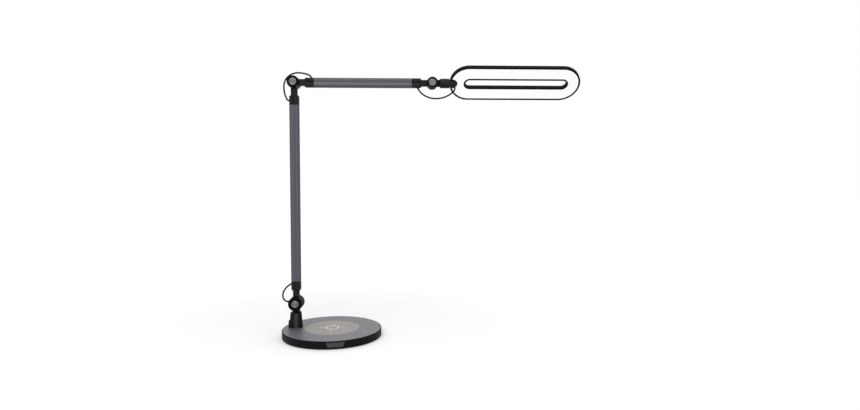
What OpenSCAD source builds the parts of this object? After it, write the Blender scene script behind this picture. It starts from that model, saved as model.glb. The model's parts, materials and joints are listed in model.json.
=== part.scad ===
// Swing arm desk lamp: round charging base, two fluted aluminium tubes on friction joints
// and a long oval light panel with a slot through it.
// Z is up, the arm reaches along +X, and the base stands on z = 0 with its middle at the origin.

/* [Base] */
// Diameter of the base
base_d = 203; // [195:1:230]
// Height of the base's top surface above the table
base_h = 17; // [17:0.5:24]
// Wall of the base housing
base_wall = 2.5; // [2:0.1:3]
// Width of the black lip round the top cover
lip_w = 1.5; // [1:0.1:2]
// Thickness of the top cover
cover_t = 2.6; // [2.2:0.1:3.2]
// Thickness of the housing's deck
deck_t = 2; // [1.6:0.1:2.4]
// Thickness of the steel ballast
ballast_t = 5.2; // [3:0.1:5.2]
// Thickness of the bottom plate
plate_t = 1.6; // [1.2:0.1:2]
// Thickness of the rubber mat that the lamp stands on
mat_t = 1.2; // [0.8:0.1:1.4]
// Turn of the base under the arms, as it is set out
base_turn = 11; // [0:1:20]

/* [Charging pad] */
// Diameter of the charging pad
pad_d = 112; // [80:1:114]
// Height of the pad above the cover
pad_proud = 0.4; // [0.2:0.1:0.8]
// Outer diameter of the charging coil
coil_d = 50; // [40:1:56]

/* [Control panel] */
// Width of the touch panel along its top edge
panel_w = 35.2; // [24:0.2:40]
// How much narrower the panel is at its foot
panel_taper = 5.8; // [0:0.2:12]
// Height of the panel's lower edge above the table
panel_z = 4.5; // [4.4:0.1:6]

/* [Foot] */
// Distance of the post's axis from the middle of the base, to the left
post_x = 74.5; // [66:0.5:76]
// Distance of the arms' plane behind the middle of the base
plane_y = 8; // [0:0.5:12]
// Height of the foot pillar above the cover
pillar_h = 31; // [28:0.5:40]
// Width of the pillar at its foot
pillar_w = 27.6; // [27:0.2:32]
// Width of the pillar at its top
pillar_top_w = 22.4; // [20:0.2:25]
// Distance of the pillar's middle to the left of the post's axis
pillar_shift = 1.2; // [0:0.1:1.6]
// Width of the flat front face of the pillar
pillar_face_w = 8; // [6:0.5:10]
// Height of the power inlet's block above the cover
inlet_h = 12.6; // [11:0.1:16]
// Bore of the power inlet
inlet_bore_d = 6.4; // [6.2:0.1:6.4]

/* [Arms] */
// Distance from the lower joint to the elbow
post_span = 453.2; // [300:0.2:480]
// Distance from the elbow to the head joint
arm_span = 282; // [200:1:340]
// Width of the tubes across their flats
tube_w = 18.8; // [18.2:0.2:20.4]
// Bore of the tubes
tube_bore = 12.6; // [11:0.2:13]
// Width of the flute along each side of a tube
flute_w = 9; // [6:0.5:9]
// Depth of the flutes
flute_d = 1.4; // [0.5:0.1:1.5]
// Length of an end cap outside its tube
cap_len = 20.4; // [19:0.2:22]
// Length of an end cap's plug inside its tube
plug_len = 22; // [18:1:30]

/* [Joints] */
// Diameter of the lower joint
lower_d = 29; // [26:0.5:30]
// Diameter of the elbow
elbow_d = 24.5; // [23:0.5:27]
// Diameter of the head joint
head_d = 22.5; // [21:0.5:24]
// Thickness of the eye that turns between a fork's cheeks
eye_t = 10.6; // [10:0.1:11]
// Thickness of a fork's cheek
cheek_t = 4.6; // [4.6:0.1:5]
// Diameter of the joint bolts
bolt_d = 6; // [5:0.1:6.4]
// Diameter of a bolt's bright head
bolt_head_d = 14.5; // [12:0.1:15]
// Thickness of the black cap round a bolt's head
cap_t = 6; // [5:0.1:7]
// Thickness of a tension knob
knob_t = 6; // [5:0.1:8]
// Width of the necks between joints and caps
neck_w = 13.2; // [12:0.1:13.4]

/* [Head] */
// Length of the light panel
head_len = 271; // [220:1:320]
// Width of the light panel
head_w = 79.2; // [72:0.2:84]
// Thickness of the light panel
head_t = 8.9; // [8.9:0.1:10.4]
// Tilt of the light's face away from upright, as it is set out
head_tilt = 44; // [0:1:90]
// Distance from the hub end of the panel to the slot
slot_inset = 32.5; // [32:0.5:40]
// Distance from the free end of the panel to the slot
slot_end_inset = 28.5; // [20:0.5:40]
// Width of the slot through the panel
slot_w = 18.1; // [16:0.1:20]
// Width of the black rim round the panel
rim_w = 3.8; // [2.4:0.1:4.6]
// Width of the black rim round the slot
slot_rim_w = 3.6; // [2.8:0.1:4]
// Width of the black rim round the hub's notch
notch_rim_w = 2.4; // [2:0.1:2.6]
// Distance of the panel's middle plane behind the axis it turns about
panel_set_back = 2.9; // [2.6:0.1:3.2]
// Thickness of the diffuser
diffuser_t = 1.8; // [1.4:0.1:2]
// Diameter of the barrel that the head turns in
barrel_d = 19.6; // [18.6:0.1:19.6]
// Diameter of the head's hub
hub_d = 15.6; // [14.8:0.1:16]
// Length of the head's hub along the panel
hub_len = 13.2; // [12.6:0.1:13.2]
// Number of light-emitting diodes along each side
led_count = 20; // [10:1:24]

/* [Jumper wires] */
// Diameter of the jumper wires
wire_d = 3.3; // [2.4:0.1:3.3]

/* [Fits] */
// Running clearance of a shaft in its hole
run_gap = 0.05; // [0.02:0.01:0.08]
// Gap between parts that pass each other
gap = 0.3; // [0.2:0.05:0.4]
// Gap round parts that are fitted together
seat_gap = 0.1; // [0.05:0.01:0.15]

/* [Hidden] */
$fn = 64;

black = [0.09, 0.09, 0.095];
soft_black = [0.13, 0.13, 0.135];
grey_cover = [0.27, 0.27, 0.29];
tube_grey = [0.13, 0.125, 0.155];
bright = [0.72, 0.72, 0.74];
steel = [0.55, 0.56, 0.58];
pad_beige = [0.4, 0.38, 0.36];
board_green = [0.05, 0.22, 0.12];
copper = [0.72, 0.4, 0.2];
opal = [0.95, 0.95, 0.93];

// Levels of the base, from the table up
base_r = base_d / 2;
housing_z = mat_t - 0.2;
ballast_z = mat_t + plate_t;
cover_z = base_h - cover_t;
deck_z = cover_z - deck_t;
lip_z = base_h - 0.3;
edge_r = 2.2;
lip_edge_r = 0.7;
inner_r = base_r - base_wall;
cover_r = base_r - lip_w - seat_gap;
mat_r = base_r - 10;
ballast_r = base_r - 14;

// Screw towers of the base and the screws that hold the bottom plate
tower_r = 3.5;
tower_ring_r = inner_r - 6;
tower_angles = [45, 135, 225, 315];
screw_r = 1.5;
screw_head_r = 2.8;

// Pad, coil and boards under the deck
pad_recess = 1;
pad_edge_r = 0.5;
coil_t = 2;
coil_hole_r = 10;
ferrite_t = 0.7;
coil_z = deck_z - seat_gap - coil_t;
board_t = 1.6;
board_z = ballast_z + ballast_t + 0.7;
board_size = [62, 30];
board_at = [10, 52];
peg_r = 1.2;
peg_inset = 4;

// Touch panel in the front of the rim
panel_top_z = cover_z - 0.2;
facet_y = sqrt(base_r * base_r - panel_w * panel_w / 4);
lens_t = 3.2;
flange_t = 1;
flange_rim = 1.2;
touch_board = [28, 1.2, 7.4];

// Foot pillar; its inside holds the swivel stem
pillar_z = base_h;
pillar_top_z = pillar_z + pillar_h;
pillar_depth = [pillar_w * 0.47, pillar_w * 0.57];
pillar_top_depth = [pillar_top_w * 0.47, pillar_top_w * 0.5];
pillar_top_face_w = pillar_face_w - 1;
stem_r = 6;
stem_bore_r = 3.5;
stem_neck_r = 4.5;
cavity_r = 7.6;
cavity_h = 10;
clip_t = 2;
wire_hole_r = 3.5;
pillar_screw_at = [[-10.5, -4.5], [8.6, -4.5], [2, 10.2]];
pillar_screw_l = 9;
inlet_in_x = 8.75;
inlet_out_x = 16.8;
inlet_front_y = -1;
inlet_back_y = pillar_depth[1] - 2.6;
inlet_bore_x = (inlet_in_x + inlet_out_x) / 2;
inlet_bore_l = 10;
inlet_pin_r = 1.05;

// Joints, along Y from the arms' plane
fork_gap = gap * 2 + 0.1;
cheek_in = eye_t / 2 + fork_gap;
cheek_out = cheek_in + cheek_t;
washer_t = 0.5;
cap_in = cheek_out + 0.1;
cap_out = cap_in + cap_t;
bolt_head_t = 2.8;
bolt_head_proud = 0.6;
spring_t = 0.6;
knob_in = cheek_out + spring_t + 0.2;
knob_out = knob_in + knob_t;
bolt_r = bolt_d / 2;
bolt_dish = 0.25;
bolt_dish_rim = 1.2;
knurl_count = 24;
eye_less = 1;
slot_more = 3.6;
fork_root_w = 12.8;
fork_root_d = 18.8;
fork_root_r = 3;
lower_root = 19.6;
elbow_root = 21;
head_root = 15.8;
lower_reach = 25.4;
elbow_reach = 25.2;
head_reach = 21.8;

// Joint axes
lower_z = pillar_top_z + lower_root + gap + 0.1;
elbow_z = lower_z + post_span;
head_x = arm_span - post_x;

// Tubes
tube_r = 4.6;
plug_gap = 0.1;
post_tube_z = [lower_z + lower_reach + cap_len, elbow_z - elbow_reach - cap_len];
arm_tube_x = [elbow_root + cap_len - post_x, head_x - head_reach - cap_len];
grub_r = 1.5;
grub_l = 4;
grub_inset = 10;
slot_mark = [4.4, 2.4];
slot_mark_start = 3;
shoulder_r = 7.4;
shoulder_slope = 1.05;
wire_r = wire_d / 2;
grommet_r = 2.25;
grommet_l = 5.4;
grommet_start = 7.3;
lead_angle = 120;
lower_lead = 0.4;
elbow_lead = 2.9;
arm_lead = 0.4;
head_lead = 6.8;
wire_way_r = 2.2;

// Head, along X from the head joint and across the panel
barrel_x = head_root + 0.1;
barrel_len = 19.8;
barrel_end = barrel_x + barrel_len;
barrel_r = barrel_d / 2;
barrel_edge_r = 2.4;
barrel_end_edge = 0.8;
barrel_cavity_r = 6.8;
barrel_cavity_l = 7;
hub_x = barrel_end + gap;
hub_r = hub_d / 2;
hub_nose_x = hub_x + hub_len - hub_r;
hub_lead_angles = [150, 20];
hub_grommet_in = 2.3;
spindle_r = 4;
spindle_bore_r = 1.5;
spindle_in_hub = 7.9;
nut_r = 6.2;
nut_t = 4;
panel_x = hub_x - 0.2;
panel_edge_r = 1.6;
notch_half = hub_r + gap;
notch_end = hub_nose_x + notch_half;
back_t = 1.2;
ledge = 1.2;
recess = 0.2;
face_z = head_t / 2;
inside_z = -face_z + back_t;
diffuser_z = face_z - recess - diffuser_t;
slot_x = [panel_x + slot_inset, panel_x + head_len - slot_end_inset];
bracket_t = 2;
bracket_z = inside_z + 1.1;
bracket_stem_w = 8;
bracket_x = notch_end + notch_rim_w + ledge + seat_gap;
bracket_end = [8, 20];
bracket_screw_r = 1;
bracket_screw_inset = 3;
boss_r = 2.6;
led_board_t = 1;
led_board_w = 12;
led_board_in = 7.2;
led_board_cut = 28;
led_size = [3.5, 2.8, 0.8];
led_inset = 10;
led_pitch = (slot_x[1] - slot_x[0] - 2 * led_inset) / (led_count - 1);

// Routes of the three jumper wires, each measured from the middle of its joint
lower_route = [
    [-8.2, 0, 40.6], [-11.3, 0, 38.9], [-14.3, 0, 37.1], [-20.4, -1, 32], [-25.5, -2, 24.5],
    [-27.2, -4, 16.5], [-25.5, -6, 10], [-21.7, -7.8, 6.4], [-18.3, -8.3, 4.9], [-14.9, -8.3, 4]
];
elbow_route = [
    [-8.2, 0, -38], [-11.3, 0, -36.2], [-14.3, 0, -34.4], [-18.5, 0, -25.5], [-20.6, 0, -14.5],
    [-20.4, 0, -3.5], [-16.4, 0, 7], [-9, 0, 14.6], [0, 0, 18.8], [10, 0, 20],
    [20, 0, 18.6], [28.2, 0, 16.4], [32.6, 0, 14], [34.5, 0, 11.3], [36.3, 0, 8.2]
];
head_route = [
    [-30.7, 0, -8.2], [-28.9, 0, -11.3], [-27.2, 0, -14.2], [-18.6, -3, -23.6],
    [-4.6, -6, -30.4], [9.4, -8, -32], [23.4, -9.4, -29.8], [35.4, -9.6, -24],
    [43.6, -8.8, -17], [46.2, -6.6, -11.4], [45.2, -5.2, -9], [44.1, -3.8, -6.5]
];
ring_sides = 8;
steps_per_stretch = 2;

// ---------- shapes that several parts share ----------

// A disc along Y between two distances
module ycyl(r, y0, y1) {
    translate([0, y0, 0]) rotate([-90, 0, 0]) cylinder(h = y1 - y0, r = r);
}

// A disc along X between two distances
module xcyl(r, x0, x1) {
    translate([x0, 0, 0]) rotate([0, 90, 0]) cylinder(h = x1 - x0, r = r);
}

module rounded_square(size, r) {
    square([size[0] - 2 * r, size[1]], center = true);
    square([size[0], size[1] - 2 * r], center = true);
    for (i = [-1, 1], j = [-1, 1])
        translate([i * (size[0] / 2 - r), j * (size[1] / 2 - r)]) circle(r);
}

// An oblong with round ends, from x0 to x1
module stadium(x0, x1, half) {
    translate([x0 + half, -half]) square([x1 - x0 - 2 * half, 2 * half]);
    for (x = [x0 + half, x1 - half]) translate([x, 0]) circle(half);
}

// A disc whose upper edge is rounded
module round_disc(r, h, edge) {
    rotate_extrude() {
        square([r - edge, h]);
        square([r, h - edge]);
        translate([r - edge, h - edge]) intersection() {
            circle(edge);
            square(edge);
        }
    }
}

module foot_place() translate([-post_x, plane_y, 0]) rotate([0, 0, base_turn]) children();
module lower_place() translate([-post_x, plane_y, lower_z]) children();
module elbow_place() translate([-post_x, plane_y, elbow_z]) children();
module head_place() translate([head_x, plane_y, elbow_z]) children();
module panel_place()
    head_place() rotate([90 + head_tilt, 0, 0]) translate([0, 0, -panel_set_back]) children();

// ---------- tubes, caps and necks ----------

// Section of the extruded tubes: rounded corners and a shallow flute along each side
module tube_section() {
    difference() {
        rounded_square([tube_w, tube_w], tube_r);
        for (a = [0, 90, 180, 270]) rotate(a)
            polygon([
                [-flute_w / 2, tube_w / 2 + 0.01],
                [flute_w / 2, tube_w / 2 + 0.01],
                [0, tube_w / 2 - flute_d]
            ]);
    }
}

// A tube that stands on z = 0, drilled at the back for the two grub screws
module tube(length) {
    difference() {
        linear_extrude(length) tube_section();
        translate([0, 0, -1]) cylinder(h = length + 2, d = tube_bore);
        for (z = [grub_inset, length - grub_inset])
            translate([0, 0, z]) ycyl(grub_r + run_gap, 0, tube_w);
    }
}

module grub_screws(length) {
    for (z = [grub_inset, length - grub_inset]) translate([0, 0, z]) difference() {
        ycyl(grub_r, tube_w / 2 - flute_d - grub_l, tube_w / 2 - flute_d);
        translate([0, tube_w / 2 - flute_d + 0.01, 0]) rotate([90, 0, 0])
            cylinder(h = 1.2, r = 0.8, $fn = 6);
    }
}

// The lead-out of a jumper wire, sloping from the middle of a cap back to the joint
module lead_place(reach, lead, side) {
    translate([0, 0, reach + cap_len - lead]) rotate([0, side * lead_angle, 0]) children();
}

// A cap with its plug, drawn from the joint outwards; reach is where the cap begins
module cap_and_plug(reach) {
    translate([0, 0, reach]) intersection() {
        linear_extrude(cap_len - 0.1) tube_section();
        cylinder(h = cap_len, r1 = shoulder_r, r2 = shoulder_r + shoulder_slope * cap_len);
    }
    translate([0, 0, reach + cap_len - 0.2])
        cylinder(h = plug_len + 0.2, d = tube_bore - 2 * plug_gap);
}

// What is drilled and cut in every cap: wire way, lead-out, grub screw hole and front mark
module cap_cuts(reach, lead, side) {
    translate([0, 0, reach + cap_len - lead - wire_way_r / 2])
        cylinder(h = lead + plug_len + wire_way_r, r = wire_way_r);
    lead_place(reach, lead, side) {
        cylinder(h = tube_w, r = wire_r + seat_gap);
        translate([0, 0, grommet_start - seat_gap])
            cylinder(h = tube_w, r = grommet_r + run_gap);
    }
    translate([0, 0, reach + cap_len + grub_inset])
        ycyl(grub_r + run_gap, tube_w / 2 - flute_d - grub_l - 0.2, tube_w);
    translate([-slot_mark[0] / 2, -tube_w / 2 - 1, reach + slot_mark_start])
        cube([slot_mark[0], 1 + flute_d + slot_mark[1], cap_len]);
}

// The grommet of a lead-out
module lead_grommet(reach, lead, side) {
    lead_place(reach, lead, side) difference() {
        translate([0, 0, grommet_start])
            cylinder(h = grommet_l, r1 = grommet_r, r2 = grommet_r - 0.2);
        cylinder(h = tube_w, r = wire_r + seat_gap);
    }
}

// End of an arm that turns between the cheeks of a fork
module eye_end(joint_d, reach, lead, side) {
    difference() {
        union() {
            ycyl(joint_d / 2 - eye_less, -eye_t / 2, eye_t / 2);
            linear_extrude(reach + 2) rounded_square([neck_w, eye_t], 2.5);
            cap_and_plug(reach);
        }
        ycyl(bolt_r + run_gap, -eye_t, eye_t);
        cap_cuts(reach, lead, side);
    }
}

// ---------- forks and what sits on a joint's bolt ----------

// Two cheeks on a root that runs up Z; the pocket clears the eye's neck as it swings
module fork(joint_d, root_l, pocket_r) {
    difference() {
        union() {
            ycyl(joint_d / 2, -cheek_out, cheek_out);
            linear_extrude(root_l) rounded_square([fork_root_w, fork_root_d], fork_root_r);
        }
        ycyl(pocket_r, -cheek_in, cheek_in);
        ycyl(bolt_r + run_gap, -cheek_out - 1, cheek_out + 1);
    }
}

// The bolt, with its bright dished head at the front
module joint_bolt() {
    rotate([90, 0, 0]) difference() {
        union() {
            translate([0, 0, -knob_out + 0.5]) cylinder(h = knob_out + cap_out - 2, r = bolt_r);
            translate([0, 0, cap_out + bolt_head_proud - bolt_head_t])
                round_disc(bolt_head_d / 2, bolt_head_t, 0.5);
        }
        translate([0, 0, cap_out + bolt_head_proud - bolt_dish])
            cylinder(h = 1, r = bolt_head_d / 2 - bolt_dish_rim);
    }
}

// The black cap that frames the bolt's head
module joint_cap(joint_d) {
    rotate([90, 0, 0]) translate([0, 0, cap_in]) difference() {
        round_disc(joint_d / 2, cap_t, 1.4);
        translate([0, 0, -1]) cylinder(h = cap_t + 2, r = bolt_r + seat_gap);
        translate([0, 0, cap_t + bolt_head_proud - bolt_head_t - seat_gap])
            cylinder(h = bolt_head_t + 1, r = bolt_head_d / 2 + seat_gap);
    }
}

// Two friction discs beside the eye and the spring washer under the knob
module joint_washers(joint_d) {
    difference() {
        union() {
            for (y = [-eye_t / 2 - 0.1 - washer_t, eye_t / 2 + 0.1])
                ycyl(joint_d / 2 - 2, y, y + washer_t);
            ycyl(bolt_r + 2.6, cheek_out + 0.1, cheek_out + 0.1 + spring_t - 0.1);
        }
        ycyl(bolt_r + seat_gap, -cheek_out, cheek_out + 2);
    }
}

// The knurled knob at the back that sets a joint's friction
module tension_knob(joint_d) {
    knob_r = joint_d / 2 - 1;
    difference() {
        union() {
            translate([0, knob_in, 0]) rotate([-90, 0, 0]) linear_extrude(knob_t - 1)
                difference() {
                    circle(knob_r);
                    for (i = [0:knurl_count - 1]) rotate(i * 360 / knurl_count)
                        translate([knob_r + 0.3, 0]) circle(0.9, $fn = 16);
                }
            ycyl(knob_r - 1.6, knob_in, knob_out);
        }
        ycyl(bolt_r + run_gap, knob_in - 1, knob_out + 1);
        ycyl(bolt_r + 2, knob_out - 0.8, knob_out + 1);
    }
}

// ---------- jumper wires ----------

// A point between p[1] and p[2] on a smooth curve through all four
function between(p, t) = 0.5 * (
    2 * p[1] + (p[2] - p[0]) * t
    + (2 * p[0] - 5 * p[1] + 4 * p[2] - p[3]) * t * t
    + (3 * p[1] - p[0] - 3 * p[2] + p[3]) * t * t * t
);
function smooth_route(route) = [
    for (i = [0:len(route) - 2], s = [0:steps_per_stretch - 1])
        between([
            route[max(i - 1, 0)], route[i], route[i + 1],
            route[min(i + 2, len(route) - 1)]
        ], s / steps_per_stretch),
    route[len(route) - 1]
];
function unit(v) = v / norm(v);

// A round wire swept along a route
module wire(route) {
    line = smooth_route(route);
    n = len(line);
    points = [
        for (i = [0:n - 1])
            let (along = unit(line[min(i + 1, n - 1)] - line[max(i - 1, 0)]))
            let (side = unit(cross(along, [0, 1, 0])))
            let (up = cross(side, along))
            for (k = [0:ring_sides - 1])
                line[i] + wire_r * (cos(k * 360 / ring_sides) * side
                    + sin(k * 360 / ring_sides) * up)
    ];
    faces = concat(
        [[for (k = [0:ring_sides - 1]) ring_sides - 1 - k]],
        [[for (k = [0:ring_sides - 1]) (n - 1) * ring_sides + k]],
        [for (i = [0:n - 2], k = [0:ring_sides - 1]) let (j = (k + 1) % ring_sides)
            [i * ring_sides + k, i * ring_sides + j,
             (i + 1) * ring_sides + j, (i + 1) * ring_sides + k]]
    );
    polyhedron(points, faces);
}

// ---------- base ----------

module rubber_mat() {
    color(soft_black) cylinder(h = mat_t, r = mat_r);
}

module tower_places() {
    for (a = tower_angles) rotate(a + base_turn) translate([tower_ring_r, 0, 0]) children();
}

module base_screw(extra) {
    cylinder(h = screw_head_r - screw_r + extra, r1 = screw_head_r + extra, r2 = screw_r);
    cylinder(h = plate_t + 6 + extra, r = screw_r + extra);
}

module base_plate() {
    color(soft_black) difference() {
        translate([0, 0, mat_t]) cylinder(h = plate_t, r = inner_r - gap);
        tower_places() translate([0, 0, mat_t]) base_screw(seat_gap);
    }
}

module base_screws() {
    color(steel) tower_places() translate([0, 0, mat_t]) base_screw(0);
}

module ballast_plate() {
    color(steel) difference() {
        translate([0, 0, ballast_z]) cylinder(h = ballast_t, r = ballast_r);
        translate([0, 0, ballast_z - 1]) cylinder(h = ballast_t + 2, r = 5);
    }
}

// The touch panel's outline, seen from the front
module panel_outline(grow) {
    polygon([
        [-panel_w / 2 - grow, panel_top_z + grow],
        [panel_w / 2 + grow, panel_top_z + grow],
        [(panel_w - panel_taper) / 2 + grow, panel_z - grow],
        [-(panel_w - panel_taper) / 2 - grow, panel_z - grow]
    ]);
}

module front_extrude(y0, y1) {
    rotate([0, 0, base_turn]) translate([0, y1, 0]) rotate([90, 0, 0])
        linear_extrude(y1 - y0) children();
}

// Holes in the deck and the cover for the wires and the foot's screws
module foot_holes(z0, z1) {
    foot_place() {
        translate([0, 0, z0]) cylinder(h = z1 - z0, r = wire_hole_r);
        for (p = pillar_screw_at)
            translate([p[0], p[1], z0]) cylinder(h = z1 - z0, r = screw_r + run_gap);
    }
}

module board_places() {
    rotate(base_turn) translate(board_at)
        for (i = [-1, 1], j = [-1, 1])
            translate([i * (board_size[0] / 2 - peg_inset), j * (board_size[1] / 2 - peg_inset)])
                children();
}

module base_housing() {
    color(black) difference() {
        union() {
            rotate_extrude() {
                translate([inner_r, housing_z + edge_r])
                    square([base_wall, lip_z - lip_edge_r - housing_z - edge_r]);
                translate([inner_r, housing_z]) square([base_wall - edge_r, edge_r + 1]);
                intersection() {
                    translate([base_r - edge_r, housing_z + edge_r]) circle(edge_r);
                    translate([inner_r, housing_z]) square([base_wall, edge_r + 1]);
                }
                translate([base_r - lip_w, cover_z - 1])
                    square([lip_w - lip_edge_r, lip_z - cover_z + 1]);
                translate([base_r - lip_edge_r, lip_z - lip_edge_r]) circle(lip_edge_r);
            }
            translate([0, 0, deck_z]) cylinder(h = deck_t, r = inner_r + 0.5);
            tower_places() translate([0, 0, ballast_z])
                cylinder(h = deck_z - ballast_z + 0.5, r = tower_r);
            board_places() {
                translate([0, 0, board_z + board_t]) cylinder(h = 3, r = peg_r + 1.2);
                translate([0, 0, board_z - 0.3]) cylinder(h = 4, r = peg_r);
            }
        }
        translate([0, 0, cover_z]) cylinder(h = cover_t + 1, r = base_r - lip_w);
        tower_places() translate([0, 0, ballast_z - 1])
            cylinder(h = 8, r = screw_r + run_gap);
        front_extrude(-base_r - 1, -facet_y + lens_t + 0.1) panel_outline(seat_gap);
        foot_holes(deck_z - 1, cover_z + 1);
    }
}

module top_cover() {
    color(grey_cover) difference() {
        translate([0, 0, cover_z]) round_disc(cover_r, cover_t, 0.4);
        translate([0, 0, base_h - pad_recess])
            cylinder(h = pad_recess + 1, r = pad_d / 2 + seat_gap);
        foot_holes(cover_z - 1, base_h + 1);
    }
}

module charging_pad() {
    color(pad_beige) translate([0, 0, base_h - pad_recess])
        round_disc(pad_d / 2, pad_recess + pad_proud, pad_edge_r);
}

module charging_coil() {
    color(copper) translate([0, 0, coil_z]) difference() {
        cylinder(h = coil_t, r = coil_d / 2);
        translate([0, 0, -1]) cylinder(h = coil_t + 2, r = coil_hole_r);
    }
}

module ferrite_sheet() {
    color(soft_black) translate([0, 0, coil_z - ferrite_t])
        cylinder(h = ferrite_t, r = coil_d / 2 + 2);
}

module main_board() {
    color(board_green) difference() {
        rotate(base_turn) translate([board_at[0], board_at[1], board_z])
            linear_extrude(board_t) rounded_square(board_size, 2);
        board_places() translate([0, 0, board_z - 1])
            cylinder(h = board_t + 2, r = peg_r + seat_gap);
    }
}

// Coils, chips and plugs on the main board
module board_parts() {
    color(black) rotate(base_turn)
        translate([board_at[0], board_at[1], board_z + board_t]) {
            for (x = [-14, 0]) translate([x, 4, 0]) cylinder(h = 1.6, r = 4.5);
            translate([10, -2, 0.6]) cube([9, 9, 1.2], center = true);
            translate([-6, -9, 0.6]) cube([12, 5, 1.2], center = true);
            translate([18, 10, 0.7]) cube([8, 4, 1.4], center = true);
        }
}

module control_panel() {
    flange_y = -facet_y + lens_t;
    color([0.2, 0.2, 0.21]) {
        front_extrude(-facet_y, flange_y) panel_outline(0);
        front_extrude(flange_y - 0.01, flange_y + flange_t) intersection() {
            panel_outline(flange_rim);
            translate([-panel_w, ballast_z + 0.1]) square([2 * panel_w, deck_z - ballast_z - 0.2]);
        }
    }
}

module control_board() {
    color(board_green) rotate([0, 0, base_turn])
        translate([
            -touch_board[0] / 2, -facet_y + lens_t + flange_t + 0.2, ballast_z + 0.4
        ]) cube(touch_board);
}

// ---------- foot ----------

// The pillar's outline: a flat face at the front, slanted sides and a blunt back
function pillar_outline(w, depth, face) = [
    [-face / 2, -depth[0]], [face / 2, -depth[0]],
    [w / 2, -0.4 * depth[0]], [w / 2, 0.6 * depth[1]],
    [0.3 * w, depth[1]], [-0.3 * w, depth[1]],
    [-w / 2, 0.6 * depth[1]], [-w / 2, -0.4 * depth[0]]
];

module foot_pillar() {
    color(soft_black) foot_place() difference() {
        translate([-pillar_shift, 0, 0]) hull() {
            translate([0, 0, pillar_z]) linear_extrude(0.01)
                polygon(pillar_outline(pillar_w, pillar_depth, pillar_face_w));
            translate([0, 0, pillar_top_z - 0.01]) linear_extrude(0.01)
                polygon(pillar_outline(pillar_top_w, pillar_top_depth, pillar_top_face_w));
        }
        translate([0, 0, pillar_z - 1]) cylinder(h = cavity_h + 1, r = cavity_r);
        translate([0, 0, pillar_z]) cylinder(h = pillar_h + 1, r = stem_r + run_gap);
        for (p = pillar_screw_at) translate([p[0], p[1], pillar_z - 1])
            cylinder(h = pillar_screw_l + 1, r = screw_r + run_gap);
        translate([-pillar_w, inlet_front_y - seat_gap, pillar_z - 1])
            cube([pillar_w - inlet_in_x + seat_gap, pillar_w, inlet_h + 2 + seat_gap]);
    }
}

module pillar_screws() {
    color(steel) foot_place() for (p = pillar_screw_at) translate([p[0], p[1], 0]) {
        translate([0, 0, deck_z - 2]) cylinder(h = 2, r = screw_head_r);
        translate([0, 0, deck_z - 0.1])
            cylinder(h = pillar_z - deck_z + pillar_screw_l - 0.4, r = screw_r);
    }
}

// The block beside the pillar that holds the power inlet; its mouth faces the back
module power_inlet() {
    top = pillar_z + inlet_h + 1;
    color(black) foot_place() difference() {
        translate([0, inlet_back_y, 0]) rotate([90, 0, 0])
            linear_extrude(inlet_back_y - inlet_front_y)
                polygon([
                    [-inlet_in_x, pillar_z], [-inlet_in_x, top], [-inlet_in_x - 4.4, top],
                    [-inlet_out_x + 0.1, top - 2.3], [-inlet_out_x, pillar_z]
                ]);
        translate([-inlet_bore_x, 0, pillar_z + inlet_h / 2])
            ycyl(inlet_bore_d / 2, inlet_back_y - inlet_bore_l, inlet_back_y + 1);
    }
}

module inlet_pin() {
    color(bright) foot_place() translate([-inlet_bore_x, 0, pillar_z + inlet_h / 2])
        ycyl(inlet_pin_r, inlet_back_y - inlet_bore_l, inlet_back_y - 1);
}

// ---------- swivel and lower joint ----------

module swivel_stem() {
    shoulder_z = lower_z - lower_root;
    color(steel) translate([-post_x, plane_y, 0]) difference() {
        union() {
            translate([0, 0, pillar_z + 4]) cylinder(h = shoulder_z - pillar_z - 4, r = stem_r);
            translate([0, 0, shoulder_z - 0.1]) cylinder(h = 4, r = stem_neck_r);
        }
        translate([0, 0, pillar_z]) cylinder(h = pillar_h + 10, r = stem_bore_r);
    }
}

module stem_clip() {
    color(bright) translate([-post_x, plane_y, pillar_z + cavity_h - gap - clip_t])
        difference() {
            cylinder(h = clip_t, r = cavity_r - gap);
            translate([0, 0, -1]) cylinder(h = clip_t + 2, r = stem_r + 0.02);
        }
}

// Where the lower wire enters the front cheek
module fork_lead_place() {
    translate([0, -(cheek_in + cheek_out) / 2, 0]) rotate([0, -75, 0]) children();
}

module lower_fork() {
    color(black) lower_place() difference() {
        rotate([0, 180, 0]) fork(lower_d, lower_root, lower_d / 2 + 0.6);
        translate([0, 0, -lower_root - 1]) cylinder(h = 5.1, r = stem_neck_r + 0.02);
        fork_lead_place() translate([0, 0, lower_d / 2 - 3])
            cylinder(h = 6, r = grommet_r - 0.2 + run_gap);
    }
}

module fork_grommet() {
    color(soft_black) lower_place() fork_lead_place() difference() {
        translate([0, 0, lower_d / 2 - 2.9])
            cylinder(h = 5.2, r1 = grommet_r - 0.2, r2 = grommet_r - 0.3);
        cylinder(h = lower_d, r = wire_r + 0.05);
    }
}

module lower_bolt() {
    color(bright) lower_place() joint_bolt();
}

module lower_cap() {
    color(black) lower_place() joint_cap(lower_d);
}

module lower_washers() {
    color(steel) lower_place() joint_washers(lower_d);
}

module lower_knob() {
    color(bright) lower_place() tension_knob(lower_d);
}

module lower_jumper() {
    color(soft_black) lower_place() wire(lower_route);
}

// ---------- post ----------

module post_lower_end() {
    color(black) lower_place() eye_end(lower_d, lower_reach, lower_lead, -1);
}

module post_tube() {
    color(tube_grey) translate([-post_x, plane_y, post_tube_z[0]])
        tube(post_tube_z[1] - post_tube_z[0]);
}

module post_upper_end() {
    color(black) elbow_place() rotate([0, 180, 0]) eye_end(elbow_d, elbow_reach, elbow_lead, 1);
}

module post_screws() {
    color(steel) translate([-post_x, plane_y, post_tube_z[0]])
        grub_screws(post_tube_z[1] - post_tube_z[0]);
}

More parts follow.
